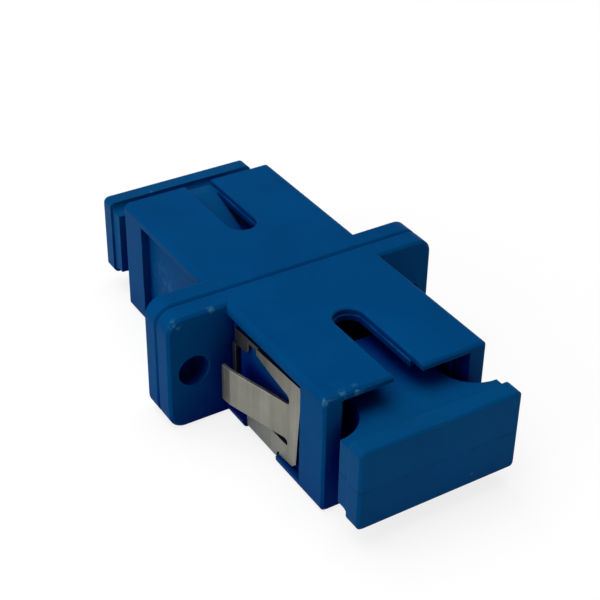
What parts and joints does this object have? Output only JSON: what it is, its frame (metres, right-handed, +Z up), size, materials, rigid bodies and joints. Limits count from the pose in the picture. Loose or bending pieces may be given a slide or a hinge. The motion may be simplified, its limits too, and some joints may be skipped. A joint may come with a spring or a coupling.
{
  "type": "fibre optic adapter",
  "caption": "Flanged coupling adapter for a square push-pull fibre plug on each side, with a panel spring clip on one half and a flared dust plug in each mouth.",
  "frame": {"origin": "middle of the adapter at the level of its flat underside, on the parting plane between its halves", "axes": "+X across the flange from screw hole to screw hole, +Y along the fibre axis away from the spring clip's half, +Z up towards the key slots"},
  "size_m": [0.022, 0.0368, 0.0093],
  "materials": {
    "blue_housing": "moulded blue plastic with a fine matt grain",
    "blue_plug": "moulded blue plastic, slightly smoother and darker",
    "insert_plastic": "moulded dark blue plastic",
    "white_ceramic": "polished white zirconia",
    "spring_steel": "rolled stainless strip, dull"
  },
  "bodies": {
    "adapter": {"front_housing": "blue_housing", "rear_housing": "blue_housing", "front_latch_insert": "insert_plastic", "rear_latch_insert": "insert_plastic", "split_sleeve": "white_ceramic", "spring_clip": "spring_steel"},
    "front_plug": {"front_dust_plug": "blue_plug"},
    "rear_plug": {"rear_dust_plug": "blue_plug"}
  },
  "joints": [
    {"name": "front_plug_slide", "type": "slide", "parent": "adapter", "child": "front_plug", "axis": [0, -1, 0], "range_m": [0, 0.009]},
    {"name": "rear_plug_slide", "type": "slide", "parent": "adapter", "child": "rear_plug", "axis": [0, 1, 0], "range_m": [0, 0.009]}
  ]
}
